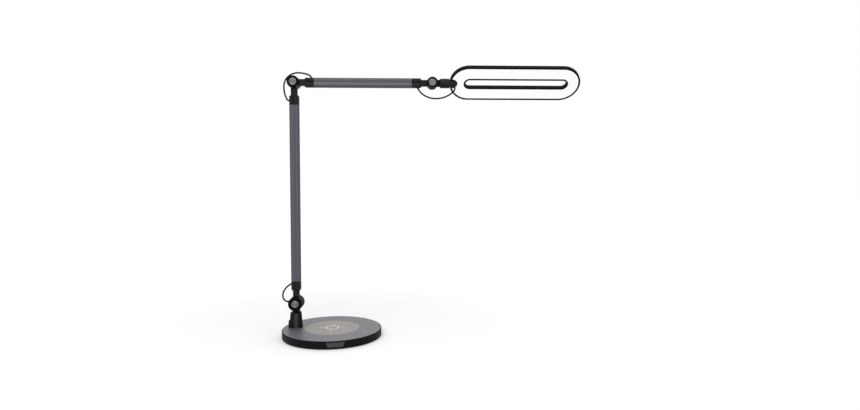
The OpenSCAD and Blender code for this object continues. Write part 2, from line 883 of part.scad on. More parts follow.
module post_grommets() {
    color(soft_black) {
        lower_place() lead_grommet(lower_reach, lower_lead, -1);
        elbow_place() rotate([0, 180, 0]) lead_grommet(elbow_reach, elbow_lead, 1);
    }
}

module elbow_jumper() {
    color(soft_black) elbow_place() wire(elbow_route);
}

// ---------- elbow and upper arm ----------

module arm_fork_end() {
    color(black) elbow_place() rotate([0, 90, 0]) difference() {
        union() {
            fork(elbow_d, elbow_root + 2, elbow_d / 2 + slot_more);
            cap_and_plug(elbow_root);
        }
        cap_cuts(elbow_root, arm_lead, -1);
    }
}

module arm_tube() {
    color(tube_grey) translate([arm_tube_x[0], plane_y, elbow_z]) rotate([0, 90, 0])
        tube(arm_tube_x[1] - arm_tube_x[0]);
}

module arm_eye_end() {
    color(black) head_place() rotate([0, -90, 0]) eye_end(head_d, head_reach, head_lead, -1);
}

module arm_screws() {
    color(steel) translate([arm_tube_x[0], plane_y, elbow_z]) rotate([0, 90, 0])
        grub_screws(arm_tube_x[1] - arm_tube_x[0]);
}

module arm_grommets() {
    color(soft_black) {
        elbow_place() rotate([0, 90, 0]) lead_grommet(elbow_root, arm_lead, -1);
        head_place() rotate([0, -90, 0]) lead_grommet(head_reach, head_lead, -1);
    }
}

module elbow_bolt() {
    color(bright) elbow_place() joint_bolt();
}

module elbow_cap() {
    color(black) elbow_place() joint_cap(elbow_d);
}

module elbow_washers() {
    color(steel) elbow_place() joint_washers(elbow_d);
}

module elbow_knob() {
    color(bright) elbow_place() tension_knob(elbow_d);
}

// ---------- head joint and barrel ----------

module head_fork() {
    color(black) head_place() rotate([0, 90, 0])
        fork(head_d, head_root, head_d / 2 + 1.4);
}

// The barrel that the head turns in, hollow for the spindle's nut
module roll_barrel() {
    color(black) head_place() translate([barrel_x, 0, 0]) rotate([0, 90, 0]) difference() {
        rotate_extrude() {
            translate([0, barrel_edge_r])
                square([barrel_r, barrel_len - barrel_edge_r - barrel_end_edge]);
            square([barrel_r - barrel_edge_r, barrel_edge_r]);
            translate([barrel_r - barrel_edge_r, barrel_edge_r]) circle(barrel_edge_r);
            square([barrel_r - barrel_end_edge, barrel_len]);
        }
        translate([0, 0, -1]) cylinder(h = barrel_cavity_l + 1, r = barrel_cavity_r);
        cylinder(h = barrel_len + 1, r = spindle_r + run_gap);
    }
}

module head_bolt() {
    color(bright) head_place() joint_bolt();
}

module head_cap() {
    color(black) head_place() joint_cap(head_d);
}

module head_washers() {
    color(steel) head_place() joint_washers(head_d);
}

module head_knob() {
    color(bright) head_place() tension_knob(head_d);
}

module head_jumper() {
    color(soft_black) head_place() wire(head_route);
}

// ---------- head ----------

// Where the head's wire enters the hub
module hub_lead_place() {
    translate([hub_nose_x, 0, 0]) rotate([hub_lead_angles[0], 0, 0])
        rotate([0, hub_lead_angles[1], 0]) children();
}

// The bracket's outline: a stem in the hub and a broad end inside the panel
module bracket_shape(grow) {
    translate([hub_x + spindle_in_hub + gap - grow, -bracket_stem_w / 2 - grow])
        square([bracket_x + 1 - hub_x - spindle_in_hub - gap + grow, bracket_stem_w + 2 * grow]);
}

// The round-nosed hub that carries the panel
module head_hub() {
    color(black) difference() {
        head_place() difference() {
            union() {
                xcyl(hub_r, hub_x, hub_nose_x);
                translate([hub_nose_x, 0, 0]) sphere(hub_r);
            }
            xcyl(2 * hub_r, hub_x - 2 * hub_r, hub_x);
            xcyl(spindle_r + 0.02, hub_x - 1, hub_x + spindle_in_hub + seat_gap);
            hub_lead_place() translate([0, 0, hub_r - hub_grommet_in - seat_gap])
                cylinder(h = hub_r, r = grommet_r + run_gap);
        }
        panel_place() translate([0, 0, bracket_z - seat_gap])
            linear_extrude(bracket_t + 2 * seat_gap) bracket_shape(seat_gap);
    }
}

module hub_grommet() {
    color(soft_black) head_place() hub_lead_place() difference() {
        translate([0, 0, hub_r - hub_grommet_in])
            cylinder(h = grommet_l - 0.5, r1 = grommet_r, r2 = grommet_r - 0.2);
        cylinder(h = 3 * hub_r, r = wire_r + seat_gap);
    }
}

module roll_spindle() {
    color(steel) head_place() difference() {
        xcyl(spindle_r, barrel_x + 1.5, hub_x + spindle_in_hub);
        xcyl(spindle_bore_r, barrel_x, hub_x + spindle_in_hub + 1);
    }
}

module spindle_nut() {
    color(steel) head_place() difference() {
        translate([barrel_x + barrel_cavity_l - gap - nut_t, 0, 0]) rotate([0, 90, 0])
            cylinder(h = nut_t, r = nut_r, $fn = 6);
        xcyl(spindle_r + 0.02, barrel_x, barrel_end);
    }
}

module bracket_screw_places() {
    for (i = [-1, 1])
        translate([
            bracket_x + bracket_end[0] / 2, i * (bracket_end[1] / 2 - bracket_screw_inset), 0
        ]) children();
}

// The steel strap that joins the panel to its hub
module spindle_bracket() {
    color(steel) panel_place() difference() {
        translate([0, 0, bracket_z]) linear_extrude(bracket_t) {
            bracket_shape(0);
            translate([bracket_x, -bracket_end[1] / 2]) square(bracket_end);
        }
        bracket_screw_places() translate([0, 0, bracket_z - 1])
            cylinder(h = bracket_t + 2, r = bracket_screw_r + run_gap);
    }
}

module bracket_screws() {
    color(steel) panel_place() bracket_screw_places() translate([0, 0, -face_z]) {
        cylinder(h = 0.9, r1 = 1.9, r2 = bracket_screw_r);
        cylinder(h = bracket_z + bracket_t + face_z + 0.4, r = bracket_screw_r);
    }
}

// The panel's outline, drawn in by a distance
module panel_shape(inset) {
    stadium(panel_x + inset, panel_x + head_len - inset, head_w / 2 - inset);
}

// The slot's outline, grown by a distance
module slot_shape(grow) {
    stadium(slot_x[0] - grow, slot_x[1] + grow, slot_w / 2 + grow);
}

// The hub's notch in the end of the panel, grown by a distance
module notch_shape(grow) {
    stadium(panel_x - head_w / 2, notch_end + grow, notch_half + grow);
}

// Half of the tray's section, with its back edge rounded
module tray_profile() {
    half = head_w / 2;
    translate([0, panel_edge_r]) square([half, head_t - panel_edge_r]);
    square([half - panel_edge_r, head_t]);
    translate([half - panel_edge_r, panel_edge_r]) circle(panel_edge_r);
}

// The solid that the tray is cut from: two half rounds joined by a straight run
module tray_blank() {
    half = head_w / 2;
    for (x = [panel_x + half, panel_x + head_len - half])
        translate([x, 0, 0]) rotate_extrude() tray_profile();
    translate([panel_x + half, 0, 0]) rotate([90, 0, 90]) linear_extrude(head_len - head_w) {
        tray_profile();
        mirror([1, 0]) tray_profile();
    }
}

// The black tray: outer rim, rims of slot and notch, back, and the ledge under the diffuser
module head_housing() {
    color(black) panel_place() translate([0, 0, -face_z]) difference() {
        union() {
            difference() {
                tray_blank();
                translate([0, 0, back_t]) linear_extrude(head_t) difference() {
                    panel_shape(rim_w + ledge);
                    slot_shape(slot_rim_w + ledge);
                    notch_shape(notch_rim_w + ledge);
                }
            }
            bracket_screw_places() cylinder(h = bracket_z + face_z - seat_gap, r = boss_r);
        }
        translate([0, 0, -1]) linear_extrude(head_t + 2) {
            slot_shape(0);
            notch_shape(0);
        }
        translate([0, 0, face_z + diffuser_z - run_gap]) linear_extrude(head_t) difference() {
            panel_shape(rim_w);
            slot_shape(slot_rim_w);
            notch_shape(notch_rim_w);
        }
        translate([0, 0, face_z + bracket_z - seat_gap])
            linear_extrude(bracket_t + 2 * seat_gap) bracket_shape(seat_gap);
        bracket_screw_places() {
            translate([0, 0, -0.01]) cylinder(h = 1, r1 = 2, r2 = bracket_screw_r);
            translate([0, 0, -1]) cylinder(h = head_t, r = bracket_screw_r + run_gap);
        }
    }
}

module diffuser() {
    color(opal) panel_place() translate([0, 0, diffuser_z]) linear_extrude(diffuser_t)
        difference() {
            panel_shape(rim_w + seat_gap);
            slot_shape(slot_rim_w + seat_gap);
            notch_shape(notch_rim_w + seat_gap);
        }
}

// A ring-shaped board, open at the hub's end
module led_board() {
    outer = led_board_in + led_board_w;
    color([0.85, 0.85, 0.85]) panel_place() translate([0, 0, inside_z + run_gap])
        linear_extrude(led_board_t) difference() {
            panel_shape(led_board_in);
            panel_shape(outer);
            translate([panel_x, -led_board_cut / 2]) square([outer + led_board_w, led_board_cut]);
        }
}

module leds() {
    middle = head_w / 2 - led_board_in - led_board_w / 2;
    color([0.9, 0.85, 0.5]) panel_place()
        for (i = [0:led_count - 1], side = [-1, 1])
            translate([
                slot_x[0] + led_inset + i * led_pitch, side * middle,
                inside_z + run_gap + led_board_t + led_size[2] / 2
            ]) cube(led_size, center = true);
}

rubber_mat();
base_plate();
base_screws();
ballast_plate();
base_housing();
top_cover();
charging_pad();
charging_coil();
ferrite_sheet();
main_board();
board_parts();
control_panel();
control_board();
foot_pillar();
pillar_screws();
power_inlet();
inlet_pin();
swivel_stem();
stem_clip();
lower_fork();
lower_bolt();
lower_cap();
lower_washers();
fork_grommet();
lower_jumper();
lower_knob();
post_lower_end();
post_tube();
post_upper_end();
post_screws();
post_grommets();
elbow_jumper();
arm_fork_end();
arm_tube();
arm_eye_end();
arm_screws();
arm_grommets();
elbow_bolt();
elbow_cap();
elbow_washers();
elbow_knob();
head_fork();
roll_barrel();
head_bolt();
head_cap();
head_washers();
head_jumper();
head_knob();
head_hub();
hub_grommet();
roll_spindle();
spindle_nut();
spindle_bracket();
bracket_screws();
head_housing();
diffuser();
led_board();
leds();
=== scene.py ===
# %% [markdown]
# # Swing arm desk lamp
#
# This lesson dresses a desk lamp whose solid parts come from a CAD model. The lamp has a round
# weighted base with a charging pad, two fluted aluminium tubes on friction joints, three
# jumper wires that carry the supply past the joints, and a long oval light head.
#
# The solids are imported as they are, so their sizes are right from the start. What is left
# for Blender is what a solid can't say: how a surface is finished, how a wire bends, how
# light falls. We work in metres, in the frame of the CAD model.

# %% Load the frame
import json
import math

import bmesh
import bpy
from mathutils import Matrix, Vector


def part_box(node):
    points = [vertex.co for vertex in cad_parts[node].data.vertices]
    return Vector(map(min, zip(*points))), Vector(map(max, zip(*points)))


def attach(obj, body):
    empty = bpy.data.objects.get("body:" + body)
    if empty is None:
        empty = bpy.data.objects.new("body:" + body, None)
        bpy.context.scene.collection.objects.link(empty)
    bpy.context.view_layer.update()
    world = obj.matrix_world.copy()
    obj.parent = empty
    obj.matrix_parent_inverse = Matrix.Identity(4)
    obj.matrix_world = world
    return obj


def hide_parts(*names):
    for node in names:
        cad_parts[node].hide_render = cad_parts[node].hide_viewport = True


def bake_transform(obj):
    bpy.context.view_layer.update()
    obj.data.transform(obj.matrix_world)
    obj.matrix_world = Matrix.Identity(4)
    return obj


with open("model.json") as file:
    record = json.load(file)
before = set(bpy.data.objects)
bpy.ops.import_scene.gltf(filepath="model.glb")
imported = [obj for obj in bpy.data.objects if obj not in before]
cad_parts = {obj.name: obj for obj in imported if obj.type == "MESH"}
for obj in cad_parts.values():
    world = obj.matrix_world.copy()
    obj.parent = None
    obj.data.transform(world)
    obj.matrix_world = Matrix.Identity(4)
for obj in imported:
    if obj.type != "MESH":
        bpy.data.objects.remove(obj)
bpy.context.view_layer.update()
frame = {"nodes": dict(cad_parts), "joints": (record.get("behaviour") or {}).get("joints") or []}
MM = 0.001

# %% [markdown]
# Every joint has a place in the record. The wires, bolts and knobs are centred on a joint, so
# the places are kept by the joint's name.

# %% Places of the joints
joint_at = {joint["name"]: Vector(joint["pos_m"]) for joint in frame["joints"]}
for name, place in joint_at.items():
    print(name, [round(value, 4) for value in place])

# %% [markdown]
# An object is a name, some data and a place in a collection. Cameras, wires, pieces and lamps
# all need those three, so one helper makes them.

# %% New objects


def add_object(name, data):
    """An object with its data, in the scene's own collection."""
    made = bpy.data.objects.new(name, data)
    bpy.context.scene.collection.objects.link(made)
    return made


# %% [markdown]
# ## The camera
#
# The camera stands in front of the lamp, a little above the middle of the post, and looks
# slightly down. A short lens from close by makes the round base look turned towards us while
# the post stays upright. A long lens from further back would flatten that.

# %% Camera
EYE = (0.1611, -1.1793, 0.3262)
LOOK_DOWN = 0.0467
LOOK_RIGHT = 0.0353
camera_data = bpy.data.cameras.new("camera")
camera_data.sensor_width = 36
camera_data.lens = 23.95
camera = add_object("camera", camera_data)
camera.location = EYE
camera.rotation_euler = (math.pi / 2 - LOOK_DOWN, 0, -LOOK_RIGHT)
bpy.context.scene.camera = camera
print("camera at", list(camera.location))

# %% [markdown]
# ## The jumper wires
#
# The supply has to pass three joints, and a wire inside a joint would be pinched, so it comes
# out of the tube and loops round. A wire keeps its length: it leaves its grommet straight and
# then bends in one smooth curve. We give a few points for each loop, in millimetres from the
# joint that it passes.

# %% Points of the loops
WIRE_D = 3.3 * MM
lower_points = [
    (-8.2, 0, 40.6), (-11.3, 0, 38.9), (-14.3, 0, 37.1), (-20.4, -1, 32), (-25.5, -2, 24.5),
    (-27.2, -4, 16.5), (-25.5, -6, 10), (-21.7, -7.8, 6.4), (-18.3, -8.3, 4.9),
    (-14.9, -8.3, 4),
]
elbow_points = [
    (-8.2, 0, -38), (-11.3, 0, -36.2), (-14.3, 0, -34.4), (-18.5, 0, -25.5),
    (-20.6, 0, -14.5), (-20.4, 0, -3.5), (-16.4, 0, 7), (-9, 0, 14.6), (0, 0, 18.8),
    (10, 0, 20), (20, 0, 18.6), (28.2, 0, 16.4), (32.6, 0, 14), (34.5, 0, 11.3),
    (36.3, 0, 8.2),
]
head_points = [
    (-30.7, 0, -8.2), (-28.9, 0, -11.3), (-27.2, 0, -14.2), (-18.6, -3, -23.6),
    (-4.6, -6, -30.4), (9.4, -8, -32), (23.4, -9.4, -29.8), (35.4, -9.6, -24),
    (43.6, -8.8, -17), (46.2, -6.6, -11.4), (45.2, -5.2, -9), (44.1, -3.8, -6.5),
]
print("points:", len(lower_points), len(elbow_points), len(head_points))

# %% [markdown]
# A smooth curve is then drawn through the points. A Bezier curve would need handles set by
# hand. Here the direction at each point comes from its two neighbours instead, which is the
# usual way to pass a curve through given points.

# %% Smooth routes
STEPS = 8


def route(joint, points):
    """A smooth curve through points that are given in millimetres from a joint."""
    knots = [joint_at[joint] + Vector(point) * MM for point in points]
    ends = [2 * knots[0] - knots[1], *knots, 2 * knots[-1] - knots[-2]]
    curve = []
    for before, start, end, after in zip(ends, ends[1:], ends[2:], ends[3:]):
        for step in range(STEPS):
            t = step / STEPS
            curve.append(0.5 * (
                2 * start
                + (end - before) * t
                + (2 * before - 5 * start + 4 * end - after) * t ** 2
                + (3 * start - before - 3 * end + after) * t ** 3
            ))
    return curve + [knots[-1]]


def length_of(curve):
    return sum((b - a).length for a, b in zip(curve, curve[1:]))


lower_curve = route("lower_tilt", lower_points)
elbow_curve = route("elbow", elbow_points)
head_curve = route("head_tilt", head_points)
for name, curve in (("lower", lower_curve), ("elbow", elbow_curve), ("head", head_curve)):
    print(name, "wire:", round(length_of(curve) / MM, 1), "mm")

# %% [markdown]
# A curve with a round bevel is the quickest tube. Its mesh is then taken, and the curve is
# removed. The end discs close the tube.

# %% Tubes along the routes


def tube_mesh(name, curve):
    """The mesh of a round tube along a curve. The curve itself is removed again."""
    line = bpy.data.curves.new(name, "CURVE")
    line.dimensions = "3D"
    line.bevel_depth = WIRE_D / 2
    line.bevel_resolution = 4
    line.use_fill_caps = True
    spline = line.splines.new("POLY")
    spline.points.add(len(curve) - 1)
    for point, place in zip(spline.points, curve):
        point.co = (*place, 1)
    tube = add_object(name, line)
    mesh = bpy.data.meshes.new_from_object(
        tube.evaluated_get(bpy.context.evaluated_depsgraph_get()))
    bpy.data.objects.remove(tube)
    mesh.name = name
    return mesh


def wire_tube(name, curve):
    """A closed round tube along a curve, joined at its end discs."""
    mesh = tube_mesh(name, curve)
    shape = bmesh.new()
    shape.from_mesh(mesh)
    bmesh.ops.remove_doubles(shape, verts=shape.verts, dist=0.01 * MM)
    bmesh.ops.recalc_face_normals(shape, faces=shape.faces)
    shape.to_mesh(mesh)
    shape.free()
    mesh.shade_smooth()
    print(name, "faces:", len(mesh.polygons))
    return add_object(name, mesh)


# %% [markdown]
# The CAD model's plain wire is hidden, so that only the new tube shows in its place.

# %% What a wire is


def declare_wire(curve, node):
    """Hides the CAD model's wire. The new wire's length is worked out, but not kept."""
    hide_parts(node)
    length_of(curve)


# %% [markdown]
# Each wire crosses a joint. Its tube is made along the route, and the tube's place is baked into
# its mesh.

# %% Loops of the lower joint and the elbow
lower_wire = wire_tube("lower_wire", lower_curve)
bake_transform(lower_wire)
declare_wire(lower_curve, "lower_jumper")

elbow_wire = wire_tube("elbow_wire", elbow_curve)
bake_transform(elbow_wire)
declare_wire(elbow_curve, "elbow_jumper")

# %% [markdown]
# The head's wire crosses two joints, the tilt and the turn about the panel's own length. This
# loop is made in two lengths, which meet at one point of the route.

# %% Loop of the head
MEET = 6 * STEPS + 4
EARLY = 4 * MM
chord = (head_curve[MEET] - head_curve[0]).normalized()
head_wire = wire_tube("head_wire", head_curve[:MEET + 1])
head_curve[0] - EARLY * chord
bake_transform(head_wire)
declare_wire(head_curve[:MEET + 1], "head_jumper")

hub_wire = wire_tube("hub_wire", head_curve[MEET:])
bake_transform(hub_wire)
declare_wire(head_curve[MEET:], "head_jumper")

# %% [markdown]
# ## The turned faces of the bolts
#
# Each joint is closed by a bolt whose head lies in a black cap. The dish in the head is turned
# on a lathe, and the tool leaves rings. A bump map could draw them, but a bump as fine as that
# is lost when the lamp is seen from some way off. Real rings are not, so they are modelled: a
# wavy line from the middle to the rim is spun round the bolt's axis. The same helper spins the
# knobs further down.

# %% Spun pieces


def spun(line, centre, steps=64, closed=False):
    """A closed ring or disc: a line of points that is spun round the Y axis."""
    shape = bmesh.new()
    verts = [shape.verts.new(point) for point in line]
    pairs = list(zip(verts, verts[1:])) + ([(verts[-1], verts[0])] if closed else [])
    edges = [shape.edges.new(pair) for pair in pairs]
    bmesh.ops.spin(
        shape, geom=verts + edges, cent=centre, axis=(0, 1, 0), angle=2 * math.pi,
        steps=steps, use_merge=True,
    )
    bmesh.ops.remove_doubles(shape, verts=shape.verts, dist=0.001 * MM)
    bmesh.ops.recalc_face_normals(shape, faces=shape.faces)
    return shape


def finished(name, shape, body):
    """Turns a bmesh into an object that rides on a body."""
    mesh = bpy.data.meshes.new(name)
    shape.to_mesh(mesh)
    shape.free()
    piece = add_object(name, mesh)
    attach(piece, body)
    print(name, "faces:", len(mesh.polygons))
    return piece


# %% [markdown]
# The disc lies in the dish, a little behind the bolt's front. Its rings are a cosine wave, so
# they begin and end level.

# %% Turned faces
FACE_R = 5.95 * MM
FACE_RINGS = 5
FACE_WAVE = 0.2 * MM
FACE_FLOOR = 0.25 * MM
FACE_RISE = 0.02 * MM
FACE_BACK = 0.1 * MM
STEPS_PER_RING = 8


def turned_face(name, joint, bolt, body):
    """A disc of concentric rings in the dish of a bolt's head."""
    centre = joint_at[joint].copy()
    centre.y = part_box(bolt)[0][1] + FACE_FLOOR
    steps = FACE_RINGS * STEPS_PER_RING
    line = []
    for step in range(steps + 1):
        share = step / steps
        height = FACE_WAVE * (1 - math.cos(2 * math.pi * FACE_RINGS * share)) / 2
        line.append(centre + Vector((share * FACE_R, -height - FACE_RISE, 0)))
    line += [centre + Vector((FACE_R, FACE_BACK, 0)), centre + Vector((0, FACE_BACK, 0))]
    face = finished(name, spun(line, centre), body)
    face.data.shade_smooth()
    return face


bolt_faces = [
    turned_face("lower_bolt_face", "lower_tilt", "lower_bolt", "turret"),
    turned_face("elbow_bolt_face", "elbow", "elbow_bolt", "arm"),
    turned_face("head_bolt_face", "head_tilt", "head_bolt", "head_link"),
]

# %% [markdown]
# ## The tension knobs
#
# Behind each joint sits a knob that presses the friction discs together. It is a turned disc
# with a recess round the bolt's end and a fluted rim for the fingers. The disc is spun like
# the faces. Then every second face of the rim is inset and pushed in, which gives the flutes.

# %% Knobs
KNOB_BORE = 4.05 * MM
KNOB_RECESS = 6.6 * MM
KNOB_EDGE = 0.8 * MM
KNOB_GRIP = 0.9 * MM
FLUTES = 28
FLUTE_WALL = 0.3 * MM
FLUTE_DEPTH = 0.7 * MM


def knob_line(low, high, radius):
    """Half the section of a knob: the distance from the axis, and the place along it."""
    return [
        (KNOB_BORE, low), (radius - KNOB_EDGE, low), (radius, low + KNOB_EDGE),
        (radius, high - KNOB_EDGE), (radius - KNOB_EDGE, high), (KNOB_RECESS, high),
        (KNOB_RECESS - KNOB_EDGE, high - KNOB_EDGE), (KNOB_BORE, high - KNOB_EDGE),
    ]


def fluted_knob(name, joint, node, body):
    """A knob with a fluted rim, in the place of the CAD model's plain one."""
    low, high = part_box(node)
    centre = joint_at[joint].copy()
    radius = (high[0] - low[0]) / 2 + KNOB_GRIP
    line = [Vector((centre.x + away, y, centre.z))
            for away, y in knob_line(low[1], high[1], radius)]
    shape = spun(line, centre, 2 * FLUTES, closed=True)
    rim = [
        face for face in shape.faces
        if all(abs((v.co - centre).xz.length - radius) < 0.01 * MM for v in face.verts)
    ]
    rim.sort(key=lambda face: math.atan2(*(face.calc_center_median() - centre).xz))
    bmesh.ops.inset_individual(
        shape, faces=rim[::2], thickness=FLUTE_WALL, depth=-FLUTE_DEPTH)
    knob = finished(name, shape, body)
    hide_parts(node)
    return knob


knobs = [
    fluted_knob("lower_fluted_knob", "lower_tilt", "lower_knob", "knob_lower"),
    fluted_knob("elbow_fluted_knob", "elbow", "elbow_knob", "knob_elbow"),
    fluted_knob("head_fluted_knob", "head_tilt", "head_knob", "knob_head"),
]

# %% [markdown]
# ## A short way to write finishes
#
# A material is a net of nodes. Drawn by hand it is easy to follow, but in a script it gets
# long, so sums on sockets are written as plain sums. The class below wraps a socket, and each
# operator on it adds the Math node that does that sum.

# %% Sums on sockets


class Term:
    """A socket in a net of nodes. Sums on it add Math nodes."""

    def __init__(self, net, socket):
        self.net = net
        self.socket = socket

    def math(self, operation, first, second=0.0):
        return self.net.node(
            "ShaderNodeMath", {"operation": operation}, {0: first, 1: second})

    def larger(self, other):
        return self.math("MAXIMUM", self, other)

    def __add__(self, other):
        return self.math("ADD", self, other)

    __radd__ = __add__

    def __sub__(self, other):
        return self.math("SUBTRACT", self, other)

    def __rsub__(self, other):
        return self.math("SUBTRACT", other, self)

    def __mul__(self, other):
        return self.math("MULTIPLY", self, other)

    __rmul__ = __mul__


# %% [markdown]
# Materials and the world are both nets of nodes. `node` adds a node of any kind, with its
# settings first and then its sockets, and `feed` links a socket or sets its value.

# %% A net of nodes


class Net:
    """A node tree that is built up node by node."""

    def __init__(self, tree):
        self.tree = tree

    def feed(self, socket, value):
        if isinstance(value, Term):
            self.tree.links.new(value.socket, socket)
        else:
            socket.default_value = value

    def node(self, kind, settings=None, inputs=None, output=0):
        made = self.tree.nodes.new(kind)
        for name, value in (settings or {}).items():
            setattr(made, name, value)
        for socket, value in (inputs or {}).items():
            self.feed(made.inputs[socket], value)
        return Term(self, made.outputs[output])


# %% [markdown]
# A finish is a material with its shader. Values that are the same all over are set on the
# shader's own sockets. The places on a piece are Object coordinates, so a pattern stays on its
# piece when the piece moves.

# %% A finish


class Finish(Net):
    """A material, and the patterns that its finish is made from."""

    def __init__(self, name, **constants):
        self.material = bpy.data.materials.new(name)
        self.material.use_nodes = True
        super().__init__(self.material.node_tree)
        self.shader = self.tree.nodes["Principled BSDF"]
        for socket, value in constants.items():
            self.shader.inputs[socket.replace("_", " ")].default_value = value

    def here(self, stretch=(1, 1, 1)):
        """The place on the piece, stretched along its axes."""
        place = self.node("ShaderNodeTexCoord", output="Object")
        return self.node("ShaderNodeVectorMath", {"operation": "MULTIPLY"},
                         {0: place, 1: stretch})

    def noise(self, scale, detail=2.0, at=None):
        return self.node("ShaderNodeTexNoise", None, {
            "Vector": at or self.here(), "Scale": scale, "Detail": detail,
        }, output="Fac")

    def between(self, low, high, value):
        """0 below low, 1 above high and a straight slope between."""
        return self.node("ShaderNodeMapRange", None, {
            "Value": value, "From Min": low, "From Max": high,
        })

    def blend(self, mask, first, second):
        """One colour where the mask is 0 and another where it is 1."""
        return self.node("ShaderNodeMix", {"data_type": "RGBA"}, {
            0: mask, 6: first, 7: second,
        }, output=2)

    def bump(self, height, distance, strength=1.0, normal=None):
        inputs = {"Height": height, "Distance": distance, "Strength": strength}
        if normal is not None:
            inputs["Normal"] = normal
        return self.node("ShaderNodeBump", None, inputs)

    def soft_edges(self, radius):
        """Rounds the look of sharp edges, as a moulding tool or a tumbler does."""
        return self.node("ShaderNodeBevel", {"samples": 4}, {"Radius": radius})

    def wear(self, colour=None, roughness=None, normal=None, emission=None):
        """Feeds what changes over the surface to the shader. Gives back the material."""
        for socket, value in (("Base Color", colour), ("Roughness", roughness),
                              ("Normal", normal), ("Emission Color", emission)):
            if value is not None:
                self.feed(self.shader.inputs[socket], value)
        return self.material


# %% [markdown]
# Shaders work with linear light, and we read colours as screen levels, so one function turns
# the levels into the shader's numbers.

# %% Colours from screen levels


def tone(red, green=None, blue=None, shift=0):
    """A linear colour from screen levels of 0 to 255. One level alone is a grey."""
    def linear(value):
        value = min(max((value + shift) / 255, 0), 1)
        return value / 12.92 if value <= 0.04045 else ((value + 0.055) / 1.055) ** 2.4
    levels = (red, red if green is None else green, red if blue is None else blue)
    return (*(linear(level) for level in levels), 1)


print("mid grey is", [round(value, 3) for value in tone(128)])

# %% [markdown]
# ## Finishes
#
# The lamp's black parts are moulded nylon. Such a mould is etched, so the surface has a very
# fine grain that breaks up the shine, and the sharp edges of the mould leave edges that are
# only a few tenths of a millimetre round. Modelled edges would cost many faces, so the Bevel
# node rounds only the way that light falls on them.

# %% Black mouldings
PIT_SCALE = 2600
CLOUD_SCALE = 90


def moulded(name, level, roughness, grain=0.9, edge=0.35, shine=0.12):
    """Black moulded plastic with an etched grain and slightly round edges."""
    finish = Finish(name, IOR=1.5, Specular_IOR_Level=shine)
    clouds = finish.noise(CLOUD_SCALE, 3)
    pits = finish.noise(PIT_SCALE, 2)
    return finish.wear(
        colour=finish.blend(clouds, tone(level, shift=-3), tone(level, shift=4)),
        roughness=roughness - 0.05 + 0.08 * clouds + 0.04 * pits,
        normal=finish.bump(pits, grain * 0.02 * MM, 0.6, finish.soft_edges(edge * MM)),
    )


joint_black = moulded("joint_black", 24, 0.42, shine=0.14)
fork_black = moulded("fork_black", 8, 0.5, shine=0.04)
head_black = moulded("head_black", 9, 0.5, shine=0.05)
base_black = moulded("base_black", 14, 0.5, grain=1.4, shine=0.06)
grommet_black = moulded("grommet_black", 16, 0.6, edge=0.1)
wire_black = moulded("wire_black", 12, 0.5, edge=0.05)
mat_black = moulded("mat_black", 34, 0.85, grain=3)
chip_black = moulded("chip_black", 28, 0.5)
print("black mouldings:", len(bpy.data.materials))

# %% [markdown]
# The foot pillar is faceted. Its flat front face carries a painted sheen: it is coloured lighter
# than the sides, in place of the light that it reflects, and it is a little less rough. A mask
# picks the faces whose normal looks to the front of the base, which is turned a little from the
# frame's own front.

# %% Foot pillar
FRONT_TURN = math.radians(11)
front = (math.sin(FRONT_TURN), -math.cos(FRONT_TURN), 0)
pillar = Finish("pillar_black", IOR=1.5, Specular_IOR_Level=0.1)
pillar_facing = pillar.node(
    "ShaderNodeVectorMath", {"operation": "DOT_PRODUCT"},
    {0: pillar.node("ShaderNodeTexCoord", output="Normal"), 1: front}, output="Value")
painted_sheen_facet = pillar.between(0.955, 0.985, pillar_facing)
pillar_pits = pillar.noise(PIT_SCALE, 2)
pillar_clouds = pillar.noise(CLOUD_SCALE, 3)
etched_tone = pillar.blend(pillar_clouds, tone(14), tone(20))
# Painted sheen: the front face is coloured lighter to stand in for the light that it reflects.
painted_sheen_tone = pillar.blend(pillar_clouds, tone(54), tone(60))
pillar_black = pillar.wear(
    colour=pillar.blend(painted_sheen_facet, etched_tone, painted_sheen_tone),
    roughness=0.46 + 0.06 * pillar_pits - 0.12 * painted_sheen_facet,
    normal=pillar.bump(pillar_pits, 0.018 * MM, 0.6, pillar.soft_edges(0.35 * MM)),
)
print("pillar nodes:", len(pillar.tree.nodes))

# %% [markdown]
# The tubes are extruded aluminium, anodised in a cool dark grey. The die leaves hair-thin
# lines along the tube, so the noise is stretched along it. Anodising is slightly uneven, which
# a large soft noise gives.

# %% Anodised tubes
TUBE_GREY = (87, 86, 93)
LINE_STRETCH = 0.01


def anodised(name, along):
    """Anodised aluminium with lines along one axis."""
    finish = Finish(name, Metallic=1.0)
    stretch = tuple(LINE_STRETCH if axis == along else 1.0 for axis in "xyz")
    lines = finish.noise(PIT_SCALE, 3, finish.here(stretch))
    clouds = finish.noise(24, 2)
    return finish.wear(
        colour=finish.blend(lines, tone(*TUBE_GREY, shift=-5), tone(*TUBE_GREY, shift=5)),
        roughness=0.48 + 0.08 * lines + 0.06 * clouds,
        normal=finish.bump(lines, 0.002 * MM, 0.3),
    )


post_metal = anodised("post_metal", "z")
arm_metal = anodised("arm_metal", "x")
print("tubes:", post_metal.name, arm_metal.name)

# %% [markdown]
# The bolts' faces come straight from the lathe. Their rings are modelled, so the finish only
# adds faint tarnish to bright steel.

# %% Turned steel
face_steel = Finish("face_metal", Metallic=1.0)
face_tarnish = face_steel.noise(420, 2)
face_metal = face_steel.wear(
    colour=face_steel.blend(face_tarnish, tone(92), tone(108)),
    roughness=0.24 + 0.06 * face_tarnish,
)
print("bolt faces:", face_metal.name)

# %% [markdown]
# Screws, nuts and plates are plated or blasted steel: an even satin with small specks. The
# knobs are blasted aluminium, which scatters more light, so they are less metallic.

# %% Satin metals


